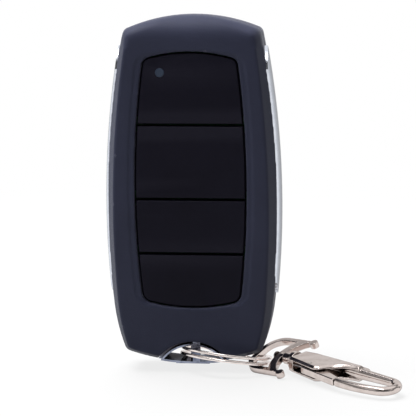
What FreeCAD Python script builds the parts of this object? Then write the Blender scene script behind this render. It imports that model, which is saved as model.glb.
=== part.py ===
import FreeCAD, Part
import math
import os

from FreeCAD import Vector, Rotation, Placement

# A gate remote control on a split ring with a swivel clasp, in millimetres.
# X runs across the case, Z along it, and the keys face -Y.
# The origin is the centre of the small flat foot under the keyring bracket.

# Case outline, seen from the front: each side is a long arc between a crown and a base arc,
# and turns in more below the turning height
CASE_LENGTH = 69.8
CASE_HALF_WIDTH = 17.12
WIDEST_Z = 31.5
SIDE_RADIUS = 185.0
CROWN_RADIUS = 34.5
BASE_RADIUS = 42.0
TOP_CORNER = 1.5
BOTTOM_CORNER = 1.6
TURN_Z = 12.0
TURN_RADIUS = 38.0

# Case depth, seen from the side: two shallow bowed faces and a rolled top
HALF_DEPTH = 6.8
DEEPEST_Z = 37.0
BASE_HALF_DEPTH = 5.4
FACE_RUN_ON = 5.0
FRONT_ROLL_RADIUS = 5.0
REAR_ROLL_RADIUS = 2.6
FACET_START = 3.2
FACET_INSET = 1.7
CREASE_FILLET = 0.35

# Walls and running clearances
FACE_WALL = 1.4
SIDE_WALL = 2.4
NOTCH_WALL = 1.2
KEY_GAP = 0.35
KEY_SPLIT = 0.55
SLIDE_CLEARANCE = 0.1
SEAT_CLEARANCE = 0.05

# Keypad opening, with the same kind of outline as the case, and the shallow lip round it
PAD_HALF_WIDTH = 11.2
PAD_WIDEST_Z = 35.5
PAD_SIDE_RADIUS = 190.0
PAD_TOP_DROP = 6.9
PAD_TOP_Z = CASE_LENGTH - PAD_TOP_DROP
PAD_TOP_RADIUS = 30.0
PAD_BOTTOM_Z = 11.6
PAD_BOTTOM_RADIUS = 34.0
PAD_TOP_CORNER = 1.8
PAD_BOTTOM_CORNER = 2.2
LIP_WIDTH = 1.35
LIP_DEPTH = 0.22
LIP_END_RISE = 0.15
LIP_FLATTENING = 1.7
LIP_CORNER = 1.0

# Keys: where the keypad is split, as shares of its height from the top, their travel and edges
KEY_SPLITS = (0.282, 0.570, 0.784)
KEY_TRAVEL = 0.4
KEY_RECESS = 0.12
KEY_BACK_Y = -4.0
KEY_EDGE = 0.25
FLANGE_WIDTH = 1.0
FLANGE_END = 1.3

# Light pipe in the top key, and the lamp behind it
LENS_RADIUS = 0.92
LENS_X = -5.95
LENS_DROP = 4.15
LENS_Z = PAD_TOP_Z - LENS_DROP
LENS_BACK_Y = -3.4
LENS_DOME = 0.12
LED_WIDTH = 1.6
LED_LENGTH = 1.0
LED_HEIGHT = 0.8

# Circuit board and the tact switches on it
BOARD_FRONT_Y = -0.9
BOARD_THICKNESS = 1.0
BOARD_EDGE = 0.4
BOARD_LOW_Z = 11.2
BOARD_TAB_HALF_WIDTH = 5.0
SWITCH_SIDE = 4.6
SWITCH_HEIGHT = 2.1
STEM_RADIUS = 0.9
STEM_DEPTH_IN_SWITCH = 0.6
SWITCH_CORNER = 0.5

# Coin cell and its two contacts
CELL_RADIUS = 10.0
CELL_THICKNESS = 3.2
CELL_MARGIN = 3.4
CELL_Z = BOARD_LOW_Z + CELL_MARGIN + CELL_RADIUS
CELL_CAP_INSET = 1.4
CELL_CAP_HEIGHT = 0.5
CELL_EDGE = 0.3
CONTACT_THICKNESS = 0.3
CONTACT_WIDTH = 4.0
CLIP_FOOT = 1.4

# Loop antenna under the crown, and the parts between it and the cell
ANTENNA_WIDTH = 19.0
ANTENNA_LENGTH = 9.6
ANTENNA_STRIP = 1.1
ANTENNA_HEIGHT = 1.0
ANTENNA_CORNER = 1.6
ANTENNA_GAP = 2.4
ANTENNA_DROP = 9.4
ANTENNA_TOP_Z = CASE_LENGTH - ANTENNA_DROP
PARTS_DROP = 6.0
PARTS_Z = ANTENNA_TOP_Z - ANTENNA_LENGTH - PARTS_DROP
CHIP_WIDTH = 4.0
CHIP_LENGTH = 6.8
CHIP_HEIGHT = 1.6
CHIP_STANDOFF = 0.1
LEAD_REACH = 1.1
LEAD_OVERLAP = 0.2
LEAD_WIDTH = 0.4
LEAD_HEIGHT = 0.5
LEAD_PITCH = 1.3
LEAD_ROWS = 5
RESONATOR_X = 9.7
RESONATOR_WIDTH = 5.0
RESONATOR_LENGTH = 3.5
RESONATOR_HEIGHT = 1.5
RESONATOR_EDGE = 0.4
SMALL_PART_COLUMNS = (-11.0, -7.6)
SMALL_PART_ROWS = 4
SMALL_PART_PITCH = 2.4
SMALL_PART_WIDTH = 1.6
SMALL_PART_LENGTH = 0.8
SMALL_PART_HEIGHT = 0.6

# Side trims: strips seated in rebates, proud of the case
TRIM_DEPTH_IN_CASE = 1.0
TRIM_PROUD = 0.62
TRIM_HALF_HEIGHT = 3.3
TRIM_EDGE = 0.55
TRIM_SHOULDER = 0.19
TRIM_CROWN = 0.28
TRIM_LOW_Z = 13.9
TRIM_TOP_DROP = 6.1
TRIM_HIGH_Z = CASE_LENGTH - TRIM_TOP_DROP
TRIM_END_LENGTH = 7.0
TRIM_LEAF_WIDTH = 0.78
TRIM_LEAF_AT = 0.36
TRIM_SWEEP = 24.0

# Notch in the base and the bracket in it
NOTCH_TOP_Z = 4.6
NOTCH_RADIUS = 8.6
BRACKET_GAP = 0.6
BRACKET_FLANGE = 0.6
BRACKET_GROOVE = 1.2
BRACKET_FRONT_Y = -4.7
BRACKET_BACK_Y = 1.5
BRACKET_RIM = 0.35
BRACKET_BAND = 0.4
POST_HALF_WIDTH = 0.8
POST_HALF_DEPTH = 1.4
POST_PLATE_LEFT = 0.0
POST_PLATE_RIGHT = 1.5
POST_PLATE_DEPTH = 0.8
FOOT_HALF_WIDTH = 3.4
FOOT_OVERLAP = 0.1
TONGUE_HALF_WIDTH = 3.2
TONGUE_HALF_DEPTH = 0.6
TONGUE_TOP_Z = 10.6
TONGUE_SLOT_END = 1.0

# Case screws
SCREW_BASE_Z = 8.3
SCREW_TOP_X = 9.6
SCREW_TOP_DROP = 6.3
SCREW_TOP_Z = CASE_LENGTH - SCREW_TOP_DROP
SCREW_SHANK = 0.7
SCREW_HEAD = 1.35
SCREW_HEAD_HEIGHT = 0.8
SCREW_SINK = 0.35
SCREW_SLOT_REACH = 0.8
SCREW_SLOT_HALF_WIDTH = 0.17
SCREW_HOLE_WALL = 0.6
SCREW_TIP_ROOM = 0.2
BOSS_RADIUS = 1.6
POST_RADIUS = 1.0
SUPPORT_X = 12.6
SUPPORT_RISE = 8.8
SUPPORT_DROP = 18.0
SUPPORT_HEIGHTS = (BOARD_LOW_Z + SUPPORT_RISE, CASE_LENGTH - SUPPORT_DROP)

# Split ring: two turns of flat wire round the bracket's post
RING_RADIUS = 8.75
RING_WIRE_WIDTH = 1.25
RING_WIRE_HEIGHT = 0.62
RING_PITCH = 1.06
RING_STEP_ANGLE = 40.0
RING_END_GAP = 8.0
RING_X = 6.4
RING_Y = -1.0
RING_Z = 1.0
RING_ROLL = 6.8
RING_TILT = 9.5
RING_STEP_AT = 95.0

# Swivel eye: a ribbon bent to a D, in the clasp's own axes (x along it, y across)
EYE_HALF_WIDTH = 5.2
EYE_RIBBON = 1.1
EYE_DEPTH = 1.25
EYE_BAND = 1.7
EYE_REACH = 9.0
EYE_CORNER = 3.6
EYE_ARCH_RADIUS = 6.1
EYE_EAR = 0.85
EYE_BOSS = 0.8
EYE_BOSS_RISE = 0.2
EYE_HANG = 5.95
EYE_OFFSET = Vector(0, 0.75, 1.3)
EYE_TILT = -5.2
EYE_ROLL = 18.0
SWIVEL_PLAY = 0.22
RIVET_CLEARANCE = 0.14

# Clasp: a slotted housing that runs into a round hook, closed by a sprung gate
CLASP_YAW = -40.0
CLASP_PITCH = 2.2
CLASP_ROLL = 5.0
RIVET_RADIUS = 0.36
RIVET_HEAD = 0.85
RIVET_HEAD_HEIGHT = 0.45
RIVET_HEAD_EDGE = 0.25
NECK_RADIUS = 1.2
COLLAR_RADIUS = 1.9
COLLAR_HEIGHT = 1.0
COLLAR_LENGTH = 2.3
HOUSING_START = 1.3
HOUSING_END_WALL = 1.3
HOUSING_HALF_HEIGHT = 1.6
HOUSING_EDGE = 0.45
HOUSING_NOSE_LENGTH = 1.0
HOUSING_NOSE_STEP = 0.7
HOUSING_TAPER_BEND_X = 2.6
HOUSING_TAPER_BEND_Y = -0.6
HOUSING_FAR_BEND = 3.0
SLOT_HALF_HEIGHT = 0.9
HOUSING_NEAR_START = -2.5
HOUSING_NEAR_END = -3.9
HOUSING_NEAR_LENGTH = 9.4
HOUSING_TAPER_END = 16.6
SPINE_INNER_Y = 1.35
SPINE_OUTER_Y = 3.05
SPINE_WALL = 0.8
HOOK_WIRE = 0.9
HOOK_ROOT_WIRE = 1.2
HOOK_END_X = 24.4
HOOK_END_RADIUS = 2.8
HOOK_FAR_Y = 2.3
HOOK_ROOT = 3.6
HOOK_NEAR_RADIUS = 24.0
HOOK_NEAR_START = -72.0
HOOK_NOSE_X = 16.0
TAB_LENGTH = 4.4
TAB_HEIGHT = 1.5
TAB_HALF_THICKNESS = 0.55
TAB_X = 15.8
GATE_START_X = 5.6
GATE_GAP = 0.32
GATE_HALF_HEIGHT = 0.74
GATE_WIDTH = 1.7
GATE_HEEL = 0.9
GATE_HEEL_LENGTH = 2.0
GATE_EDGE = 0.18
GATE_OUTER_START = -3.5
GATE_FORK = 0.4
GATE_FORK_LENGTH = 3.4
PIN_RADIUS = 0.4
PIN_X = 7.2
PIN_CLEARANCE = 0.06
PIN_OFFSET = 0.32
SPRING_RADIUS = 0.75
SPRING_LEG = 0.3
SPRING_ROOM = 0.1

FAR = 200.0
FULL_TURN = 360.0
DIAGONAL = math.sqrt(0.5)
LEAST_CORNER = 0.3


# Flat outlines

def circle_meet(centre_a, radius_a, centre_b, radius_b, side):
    """Where two circles in a plane meet; side picks one of the two points."""
    dx = centre_b[0] - centre_a[0]
    dz = centre_b[1] - centre_a[1]
    distance = math.hypot(dx, dz)
    along = (radius_a ** 2 - radius_b ** 2 + distance ** 2) / (2 * distance)
    across = math.sqrt(max(radius_a ** 2 - along ** 2, 0.0)) * side
    return (centre_a[0] + (along * dx - across * dz) / distance,
            centre_a[1] + (along * dz + across * dx) / distance)


def point_on(centre, through, radius):
    """The point of a circle in line with another point."""
    dx = through[0] - centre[0]
    dz = through[1] - centre[1]
    size = math.hypot(dx, dz)
    return (centre[0] + radius * dx / size, centre[1] + radius * dz / size)


def arc_between(centre, start, end, radius):
    """The middle of the short arc of a circle between two of its points."""
    return point_on(centre, ((start[0] + end[0]) / 2, (start[1] + end[1]) / 2), radius)


class Barrel:
    """An outline of bowed sides and bowed ends with round corners.

    Where a turn is given, the sides turn in on a smaller radius below that height.
    """

    def __init__(self, half_width, widest, side, top, top_radius, bottom, bottom_radius,
                 top_corner, bottom_corner, turn=None):
        self.side_centre = (half_width - side, widest)
        self.side = side
        self.top_centre = (0.0, top - top_radius)
        self.top_radius = top_radius
        self.bottom_centre = (0.0, bottom + bottom_radius)
        self.bottom_radius = bottom_radius
        self.top_corner = top_corner
        self.bottom_corner = bottom_corner
        self.turn = turn
        self.turn_centre = self.side_centre
        self.turn_radius = side
        if turn:
            turn_z, self.turn_radius = turn
            reach = math.sqrt(side ** 2 - (turn_z - widest) ** 2)
            self.turn_point = (self.side_centre[0] + reach, turn_z)
            self.turn_centre = point_on(self.side_centre, self.turn_point, side - self.turn_radius)

    def wire(self, inset=0.0, y=0.0):
        side = self.side - inset
        top = self.top_radius - inset
        bottom = self.bottom_radius - inset
        top_corner = max(self.top_corner - inset, LEAST_CORNER)
        bottom_corner = max(self.bottom_corner - inset, LEAST_CORNER)
        top_mid = circle_meet(self.side_centre, side - top_corner,
                              self.top_centre, top - top_corner, 1)
        if top_mid[1] < self.side_centre[1]:
            top_mid = circle_meet(self.side_centre, side - top_corner,
                                  self.top_centre, top - top_corner, -1)
        turn = self.turn_radius - inset
        low_mid = circle_meet(self.turn_centre, turn - bottom_corner,
                              self.bottom_centre, bottom - bottom_corner, 1)
        if low_mid[1] > self.side_centre[1]:
            low_mid = circle_meet(self.turn_centre, turn - bottom_corner,
                                  self.bottom_centre, bottom - bottom_corner, -1)
        right_top = point_on(self.side_centre, top_mid, side)
        crown = point_on(self.top_centre, top_mid, top)
        right_low = point_on(self.turn_centre, low_mid, turn)
        base = point_on(self.bottom_centre, low_mid, bottom)
        top_bend = (top_mid[0] + top_corner * DIAGONAL, top_mid[1] + top_corner * DIAGONAL)
        low_bend = (low_mid[0] + bottom_corner * DIAGONAL, low_mid[1] - bottom_corner * DIAGONAL)

        def at(point, mirror=1):
            return Vector(mirror * point[0], y, point[1])

        low_side = right_low
        right = [Part.Arc(at(base), at(low_bend), at(right_low))]
        left = [Part.Arc(at(right_low, -1), at(low_bend, -1), at(base, -1))]
        if self.turn:
            low_side = point_on(self.side_centre, self.turn_point, side)
            bend = arc_between(self.turn_centre, right_low, low_side, turn)
            right.append(Part.Arc(at(right_low), at(bend), at(low_side)))
            left.insert(0, Part.Arc(at(low_side, -1), at(bend, -1), at(right_low, -1)))
        widest = (self.side_centre[0] + side, self.side_centre[1])
        edges = [Part.Arc(at(base, -1), Vector(0, y, self.bottom_centre[1] - bottom), at(base))]
        edges += right + [
            Part.Arc(at(low_side), at(widest), at(right_top)),
            Part.Arc(at(right_top), at(top_bend), at(crown)),
            Part.Arc(at(crown), Vector(0, y, self.top_centre[1] + top), at(crown, -1)),
            Part.Arc(at(crown, -1), at(top_bend, -1), at(right_top, -1)),
            Part.Arc(at(right_top, -1), at(widest, -1), at(low_side, -1)),
        ] + left
        return Part.Wire([edge.toShape() for edge in edges])

    def prism(self, y_from, y_to, inset=0.0):
        face = Part.Face(self.wire(inset, y_from))
        return face.extrude(Vector(0, y_to - y_from, 0))


CASE = Barrel(CASE_HALF_WIDTH, WIDEST_Z, SIDE_RADIUS, CASE_LENGTH, CROWN_RADIUS,
              0.0, BASE_RADIUS, TOP_CORNER, BOTTOM_CORNER, (TURN_Z, TURN_RADIUS))
PAD = Barrel(PAD_HALF_WIDTH, PAD_WIDEST_Z, PAD_SIDE_RADIUS, PAD_TOP_Z, PAD_TOP_RADIUS,
             PAD_BOTTOM_Z, PAD_BOTTOM_RADIUS, PAD_TOP_CORNER, PAD_BOTTOM_CORNER)


# Depth of the case, as a prism across it

def face_depth(height):
    """Half the depth of the case at a height, on the bowed face."""
    span = DEEPEST_Z
    sag = HALF_DEPTH - BASE_HALF_DEPTH
    radius = (span ** 2 + sag ** 2) / (2 * sag)
    return HALF_DEPTH - radius + math.sqrt(radius ** 2 - (height - DEEPEST_Z) ** 2)


def roll_start(radius):
    return CASE_LENGTH - radius


def depth_prism(inset=0.0):
    """The space between the two bowed faces and under the top, rolled over more at the front."""
    front_z = roll_start(FRONT_ROLL_RADIUS)
    rear_z = roll_start(REAR_ROLL_RADIUS)
    front_roll = FRONT_ROLL_RADIUS - inset
    rear_roll = REAR_ROLL_RADIUS - inset
    front_middle = FRONT_ROLL_RADIUS - face_depth(front_z)
    rear_middle = face_depth(rear_z) - REAR_ROLL_RADIUS
    top = CASE_LENGTH - inset

    def at(depth, height):
        return Vector(-FAR, depth, height)

    low = -FACE_RUN_ON
    wire = Part.Wire([
        Part.Arc(at(-face_depth(low) + inset, low), at(-HALF_DEPTH + inset, DEEPEST_Z),
                 at(front_middle - front_roll, front_z)).toShape(),
        Part.Arc(at(front_middle - front_roll, front_z),
                 at(front_middle - DIAGONAL * front_roll, front_z + DIAGONAL * front_roll),
                 at(front_middle, top)).toShape(),
        Part.makeLine(at(front_middle, top), at(rear_middle, top)),
        Part.Arc(at(rear_middle, top),
                 at(rear_middle + DIAGONAL * rear_roll, rear_z + DIAGONAL * rear_roll),
                 at(rear_middle + rear_roll, rear_z)).toShape(),
        Part.Arc(at(rear_middle + rear_roll, rear_z), at(HALF_DEPTH - inset, DEEPEST_Z),
                 at(face_depth(low) - inset, low)).toShape(),
        Part.makeLine(at(face_depth(low) - inset, low), at(-face_depth(low) + inset, low)),
    ])
    return Part.Face(wire).extrude(Vector(2 * FAR, 0, 0))


def band(z_from, z_to):
    """Everything between two heights."""
    return Part.makeBox(2 * FAR, 2 * FAR, z_to - z_from, Vector(-FAR, -FAR, z_from))


def rod(radius, x, z, y_from, y_to):
    """A round bar through the case, along Y."""
    return Part.makeCylinder(radius, y_to - y_from, Vector(x, y_from, z), Vector(0, 1, 0))


def block(x_from, x_to, y_from, y_to, z_from, z_to):
    return Part.makeBox(x_to - x_from, y_to - y_from, z_to - z_from, Vector(x_from, y_from, z_from))


def mirrored(shape):
    return shape.mirror(Vector(0, 0, 0), Vector(1, 0, 0))


# Case covers

def notch(extra=0.0):
    return rod(NOTCH_RADIUS + extra, 0.0, NOTCH_TOP_Z - NOTCH_RADIUS, -FAR, FAR)


def screw_places():
    return [(0.0, SCREW_BASE_Z), (-SCREW_TOP_X, SCREW_TOP_Z), (SCREW_TOP_X, SCREW_TOP_Z)]


def trim_outline(extra=0.0):
    """The trim seen from the side: a long strip with leaf-shaped ends, as a prism along X."""
    high = TRIM_HALF_HEIGHT + extra
    low_tip = TRIM_LOW_Z - extra
    high_tip = TRIM_HIGH_Z + extra
    low_start = low_tip + TRIM_END_LENGTH
    high_start = high_tip - TRIM_END_LENGTH
    leaf = TRIM_LEAF_WIDTH * high

    def at(depth, height):
        return Vector(0, depth, height)

    low_bend = low_tip + TRIM_LEAF_AT * TRIM_END_LENGTH
    high_bend = high_tip - TRIM_LEAF_AT * TRIM_END_LENGTH
    wire = Part.Wire([
        Part.makeLine(at(-high, low_start), at(-high, high_start)),
        Part.Arc(at(-high, high_start), at(-leaf, high_bend), at(0, high_tip)).toShape(),
        Part.Arc(at(0, high_tip), at(leaf, high_bend), at(high, high_start)).toShape(),
        Part.makeLine(at(high, high_start), at(high, low_start)),
        Part.Arc(at(high, low_start), at(leaf, low_bend), at(0, low_tip)).toShape(),
        Part.Arc(at(0, low_tip), at(-leaf, low_bend), at(-high, low_start)).toShape(),
    ])
    return Part.Face(wire).extrude(Vector(FAR, 0, 0))


def trim_rebate():
    seat = CASE.prism(-FAR, FAR, TRIM_DEPTH_IN_CASE + SEAT_CLEARANCE)
    cut = trim_outline(SEAT_CLEARANCE).cut(seat)
    return cut.fuse(mirrored(cut))


def side_trim():
    """One trim: its section is turned about the centre of the case's side arc."""
    inner = CASE_HALF_WIDTH - TRIM_DEPTH_IN_CASE
    shoulder = CASE_HALF_WIDTH + TRIM_SHOULDER
    edge = CASE_HALF_WIDTH + TRIM_PROUD - TRIM_CROWN
    crest = CASE_HALF_WIDTH + TRIM_PROUD
    high = TRIM_HALF_HEIGHT

    def at(x, y):
        return Vector(x, y, WIDEST_Z)

    section = Part.Wire([
        Part.makeLine(at(inner, -high), at(shoulder, -high)),
        Part.makeLine(at(shoulder, -high), at(edge, -high + TRIM_EDGE)),
        Part.Arc(at(edge, -high + TRIM_EDGE), at(crest, 0), at(edge, high - TRIM_EDGE)).toShape(),
        Part.makeLine(at(edge, high - TRIM_EDGE), at(shoulder, high)),
        Part.makeLine(at(shoulder, high), at(inner, high)),
        Part.makeLine(at(inner, high), at(inner, -high)),
    ])
    start = Placement(Vector(0, 0, 0), Rotation(Vector(0, 1, 0), TRIM_SWEEP / 2),
                      Vector(CASE_HALF_WIDTH - SIDE_RADIUS, 0, WIDEST_Z))
    face = Part.Face(section)
    face.Placement = start
    strip = face.revolve(Vector(CASE_HALF_WIDTH - SIDE_RADIUS, 0, WIDEST_Z), Vector(0, -1, 0), TRIM_SWEEP)
    return strip.common(trim_outline())


def half_case(sign):
    """The outside of one cover: straight sides, then a facet that leans in to the face."""
    straight = CASE.prism(0, sign * FACET_START)
    lean = Part.makeLoft([CASE.wire(0.0, sign * FACET_START),
                          CASE.wire(FACET_INSET, sign * HALF_DEPTH)], True, True)
    return straight.fuse(lean).removeSplitter().common(depth_prism())


def cavity(sign):
    hollow = CASE.prism(0, sign * HALF_DEPTH, SIDE_WALL).common(depth_prism(FACE_WALL))
    return hollow.cut(notch(NOTCH_WALL))


def soften_creases(shape, sign):
    """A small fillet on the edges round the bowed face."""
    edges = []
    for edge in shape.Edges:
        middle = edge.valueAt((edge.FirstParameter + edge.LastParameter) / 2)
        roll = FRONT_ROLL_RADIUS if sign < 0 else REAR_ROLL_RADIUS
        on_face = abs(abs(middle.y) - face_depth(middle.z)) < 0.02 and middle.z < roll_start(roll)
        if on_face and edge.Length > 2 and middle.y * sign > 0:
            edges.append(edge)
    return shape.makeFillet(CREASE_FILLET, edges)


def tongue_slot():
    clear = SEAT_CLEARANCE
    return block(-TONGUE_HALF_WIDTH - clear, TONGUE_HALF_WIDTH + clear,
                 -TONGUE_HALF_DEPTH - clear, TONGUE_HALF_DEPTH + clear,
                 0, NOTCH_TOP_Z + NOTCH_WALL + TONGUE_SLOT_END)


def lip():
    """The shallow step round the keys: widest at the sides, gone at the middle of each end."""
    outer = Barrel(PAD_HALF_WIDTH + LIP_WIDTH, PAD_WIDEST_Z, PAD_SIDE_RADIUS + LIP_WIDTH,
                   PAD_TOP_Z + LIP_END_RISE, PAD_TOP_RADIUS * LIP_FLATTENING,
                   PAD_BOTTOM_Z - LIP_END_RISE, PAD_BOTTOM_RADIUS * LIP_FLATTENING,
                   PAD_TOP_CORNER + LIP_CORNER, PAD_BOTTOM_CORNER + LIP_CORNER)
    return outer.prism(-FAR, 0).cut(depth_prism(LIP_DEPTH))


def front_cover():
    shell = soften_creases(half_case(-1), -1)
    shell = shell.cut(cavity(-1))
    inner = half_case(-1)
    for x, z in screw_places():
        boss = rod(BOSS_RADIUS, x, z, -HALF_DEPTH, 0).common(inner).common(depth_prism(FACE_WALL / 2))
        shell = shell.fuse(boss)
    shell = shell.cut(PAD.prism(-FAR, 0))
    shell = shell.cut(lip())
    for x, z in screw_places():
        shell = shell.cut(rod(SCREW_SHANK, x, z, -face_depth(z) + FACE_WALL + SCREW_HOLE_WALL, 0))
    return shell.cut(notch()).cut(trim_rebate()).cut(tongue_slot())


def rear_cover():
    shell = soften_creases(half_case(1), 1)
    shell = shell.cut(cavity(1))
    inner = half_case(1).common(depth_prism(FACE_WALL / 2))
    for x, z in screw_places():
        shell = shell.fuse(rod(BOSS_RADIUS, x, z, 0, HALF_DEPTH).common(inner))
    for z in SUPPORT_HEIGHTS:
        for x in (-SUPPORT_X, SUPPORT_X):
            post = rod(POST_RADIUS, x, z, BOARD_FRONT_Y + BOARD_THICKNESS, HALF_DEPTH)
            shell = shell.fuse(post.common(inner))
    for x, z in screw_places():
        head_y = face_depth(z) - SCREW_SINK - SCREW_HEAD_HEIGHT
        shell = shell.cut(rod(SCREW_SHANK + SLIDE_CLEARANCE, x, z, -1, FAR))
        shell = shell.cut(rod(SCREW_HEAD + SLIDE_CLEARANCE, x, z, head_y, FAR))
    return shell.cut(notch()).cut(trim_rebate()).cut(tongue_slot())


def case_screws():
    """Three screws, each a cross-slotted head on a plain shank."""
    screws = []
    for x, z in screw_places():
        head_y = face_depth(z) - SCREW_SINK - SCREW_HEAD_HEIGHT
        head = rod(SCREW_HEAD, x, z, head_y, head_y + SCREW_HEAD_HEIGHT)
        slot_y = head_y + SCREW_HEAD_HEIGHT / 2
        reach = SCREW_SLOT_REACH
        half = SCREW_SLOT_HALF_WIDTH
        slot = block(x - reach, x + reach, slot_y, FAR, z - half, z + half)
        cross = block(x - half, x + half, slot_y, FAR, z - reach, z + reach)
        tip_y = -face_depth(z) + FACE_WALL + SCREW_HOLE_WALL + SCREW_TIP_ROOM
        shank = rod(SCREW_SHANK, x, z, tip_y, head_y)
        screws.append(head.fuse(shank).cut(slot).cut(cross).removeSplitter())
    return Part.makeCompound(screws)


# Keys, their light pipe and the switches under them

def key_limits():
    """The lowest and highest height of each key, from the top one down."""
    heights = [PAD_TOP_Z - share * (PAD_TOP_Z - PAD_BOTTOM_Z) for share in KEY_SPLITS]
    tops = [FAR] + [height - KEY_SPLIT / 2 for height in heights]
    bottoms = [height + KEY_SPLIT / 2 for height in heights] + [-FAR]
    return list(zip(bottoms, tops))


def key_centre(low, high):
    low = max(low, PAD_BOTTOM_Z + KEY_GAP)
    high = min(high, PAD_TOP_Z - KEY_GAP)
    return (low + high) / 2


def key(number, low, high):
    cap = PAD.prism(-HALF_DEPTH, KEY_BACK_Y, KEY_GAP).common(band(low, high))
    cap = cap.common(depth_prism(LIP_DEPTH + KEY_RECESS))
    front = [edge for edge in cap.Edges
             if abs(abs(edge.CenterOfMass.y) - face_depth(edge.CenterOfMass.z)) < 0.5]
    cap = cap.makeFillet(KEY_EDGE, front)
    flange_low = max(low, PAD_BOTTOM_Z) + FLANGE_END
    flange_high = min(high, PAD_TOP_Z) - FLANGE_END
    flange = PAD.prism(-HALF_DEPTH, KEY_BACK_Y, -FLANGE_WIDTH).common(band(flange_low, flange_high))
    flange = flange.common(depth_prism(FACE_WALL + SLIDE_CLEARANCE))
    solid = cap.fuse(flange).removeSplitter()
    if number == 1:
        solid = solid.cut(rod(LENS_RADIUS, LENS_X, LENS_Z, -FAR, 0))
    return solid


def led_lens():
    """A light pipe with a slightly domed end, held in the top key."""
    face = -face_depth(LENS_Z) + LIP_DEPTH + KEY_RECESS
    pipe = rod(LENS_RADIUS, LENS_X, LENS_Z, face, LENS_BACK_Y)
    rim = [edge for edge in pipe.Edges if abs(edge.CenterOfMass.y - face) < 0.01]
    return pipe.makeFillet(LENS_DOME, rim)


def switch_body(z):
    top = BOARD_FRONT_Y - SWITCH_HEIGHT
    half = SWITCH_SIDE / 2
    body = block(-half, half, top, BOARD_FRONT_Y, z - half, z + half)
    corners = [edge for edge in body.Edges if abs(edge.Vertexes[0].Y - edge.Vertexes[1].Y) > 1]
    body = body.makeChamfer(SWITCH_CORNER, corners)
    bore_end = top + STEM_DEPTH_IN_SWITCH + KEY_TRAVEL + SLIDE_CLEARANCE
    return body.cut(rod(STEM_RADIUS + SLIDE_CLEARANCE, 0, z, top - 1, bore_end))


def switch_stem(z):
    end = BOARD_FRONT_Y - SWITCH_HEIGHT + STEM_DEPTH_IN_SWITCH
    return rod(STEM_RADIUS, 0, z, KEY_BACK_Y, end)


# Circuit board and what is soldered to it

BOARD_BACK_Y = BOARD_FRONT_Y + BOARD_THICKNESS


def circuit_board():
    board = CASE.prism(BOARD_FRONT_Y, BOARD_BACK_Y, SIDE_WALL + BOARD_EDGE)
    board = board.common(band(BOARD_LOW_Z, FAR))
    for x, z in screw_places():
        board = board.cut(rod(BOSS_RADIUS + BOARD_EDGE, x, z, -FAR, FAR))
    tab = block(-BOARD_TAB_HALF_WIDTH, BOARD_TAB_HALF_WIDTH, -FAR, FAR, 0, FAR)
    top_room = band(SCREW_TOP_Z - BOSS_RADIUS, FAR).cut(tab)
    return board.cut(top_room)


def on_board(x, z, width, length, height, lift=0.0):
    """A block on the back of the board, centred at x and z."""
    return block(x - width / 2, x + width / 2, BOARD_BACK_Y + lift, BOARD_BACK_Y + height,
                 z - length / 2, z + length / 2)


def status_led():
    return block(LENS_X - LED_WIDTH / 2, LENS_X + LED_WIDTH / 2, BOARD_FRONT_Y - LED_HEIGHT,
                 BOARD_FRONT_Y, LENS_Z - LED_LENGTH / 2, LENS_Z + LED_LENGTH / 2)


def microcontroller():
    """A flat package with leads down both sides."""
    package = on_board(0, PARTS_Z, CHIP_WIDTH, CHIP_LENGTH, CHIP_HEIGHT, CHIP_STANDOFF)
    lead_x = (CHIP_WIDTH + LEAD_REACH - LEAD_OVERLAP) / 2
    for row in range(LEAD_ROWS):
        lead_z = PARTS_Z + LEAD_PITCH * (row - (LEAD_ROWS - 1) / 2)
        for x in (-lead_x, lead_x):
            package = package.fuse(on_board(x, lead_z, LEAD_REACH + LEAD_OVERLAP, LEAD_WIDTH, LEAD_HEIGHT))
    return package.removeSplitter()


def resonator():
    can = on_board(RESONATOR_X, PARTS_Z, RESONATOR_WIDTH, RESONATOR_LENGTH, RESONATOR_HEIGHT)
    middle = BOARD_BACK_Y + RESONATOR_HEIGHT / 2
    edges = [edge for edge in can.Edges if edge.CenterOfMass.y > middle + RESONATOR_EDGE / 2]
    return can.makeFillet(RESONATOR_EDGE, edges)


def chip_parts():
    """Small resistors and capacitors, in two rows."""
    chips = []
    for row in range(SMALL_PART_ROWS):
        z = PARTS_Z + SMALL_PART_PITCH * (row - (SMALL_PART_ROWS - 1) / 2)
        for x in SMALL_PART_COLUMNS:
            chips.append(on_board(x, z, SMALL_PART_WIDTH, SMALL_PART_LENGTH, SMALL_PART_HEIGHT))
    return Part.makeCompound(chips)


def loop_antenna():
    """A bent copper strip on the back of the board, open at its feet."""
    middle = ANTENNA_TOP_Z - ANTENNA_LENGTH / 2
    outer = on_board(0, middle, ANTENNA_WIDTH, ANTENNA_LENGTH, ANTENNA_HEIGHT)
    inner = on_board(0, middle, ANTENNA_WIDTH - 2 * ANTENNA_STRIP, ANTENNA_LENGTH - 2 * ANTENNA_STRIP,
                     FAR, -FAR)
    corners = [edge for edge in outer.Edges if edge.Vertexes[0].Z == edge.Vertexes[1].Z
               and edge.Vertexes[0].X == edge.Vertexes[1].X]
    loop = outer.makeFillet(ANTENNA_CORNER, corners).cut(inner)
    return loop.cut(block(-ANTENNA_GAP / 2, ANTENNA_GAP / 2, -FAR, FAR, 0, middle))


def coin_cell():
    back = BOARD_BACK_Y + CONTACT_THICKNESS
    can = rod(CELL_RADIUS, 0, CELL_Z, back + CELL_CAP_HEIGHT, back + CELL_THICKNESS)
    cap = rod(CELL_RADIUS - CELL_CAP_INSET, 0, CELL_Z, back, back + CELL_CAP_HEIGHT)
    rim = [edge for edge in can.Edges if abs(edge.CenterOfMass.y - back - CELL_THICKNESS) < 0.01]
    return can.makeFillet(CELL_EDGE, rim).fuse(cap).removeSplitter()


def cell_negative_contact():
    return rod(CONTACT_WIDTH, 0, CELL_Z, BOARD_BACK_Y, BOARD_BACK_Y + CONTACT_THICKNESS)


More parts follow.
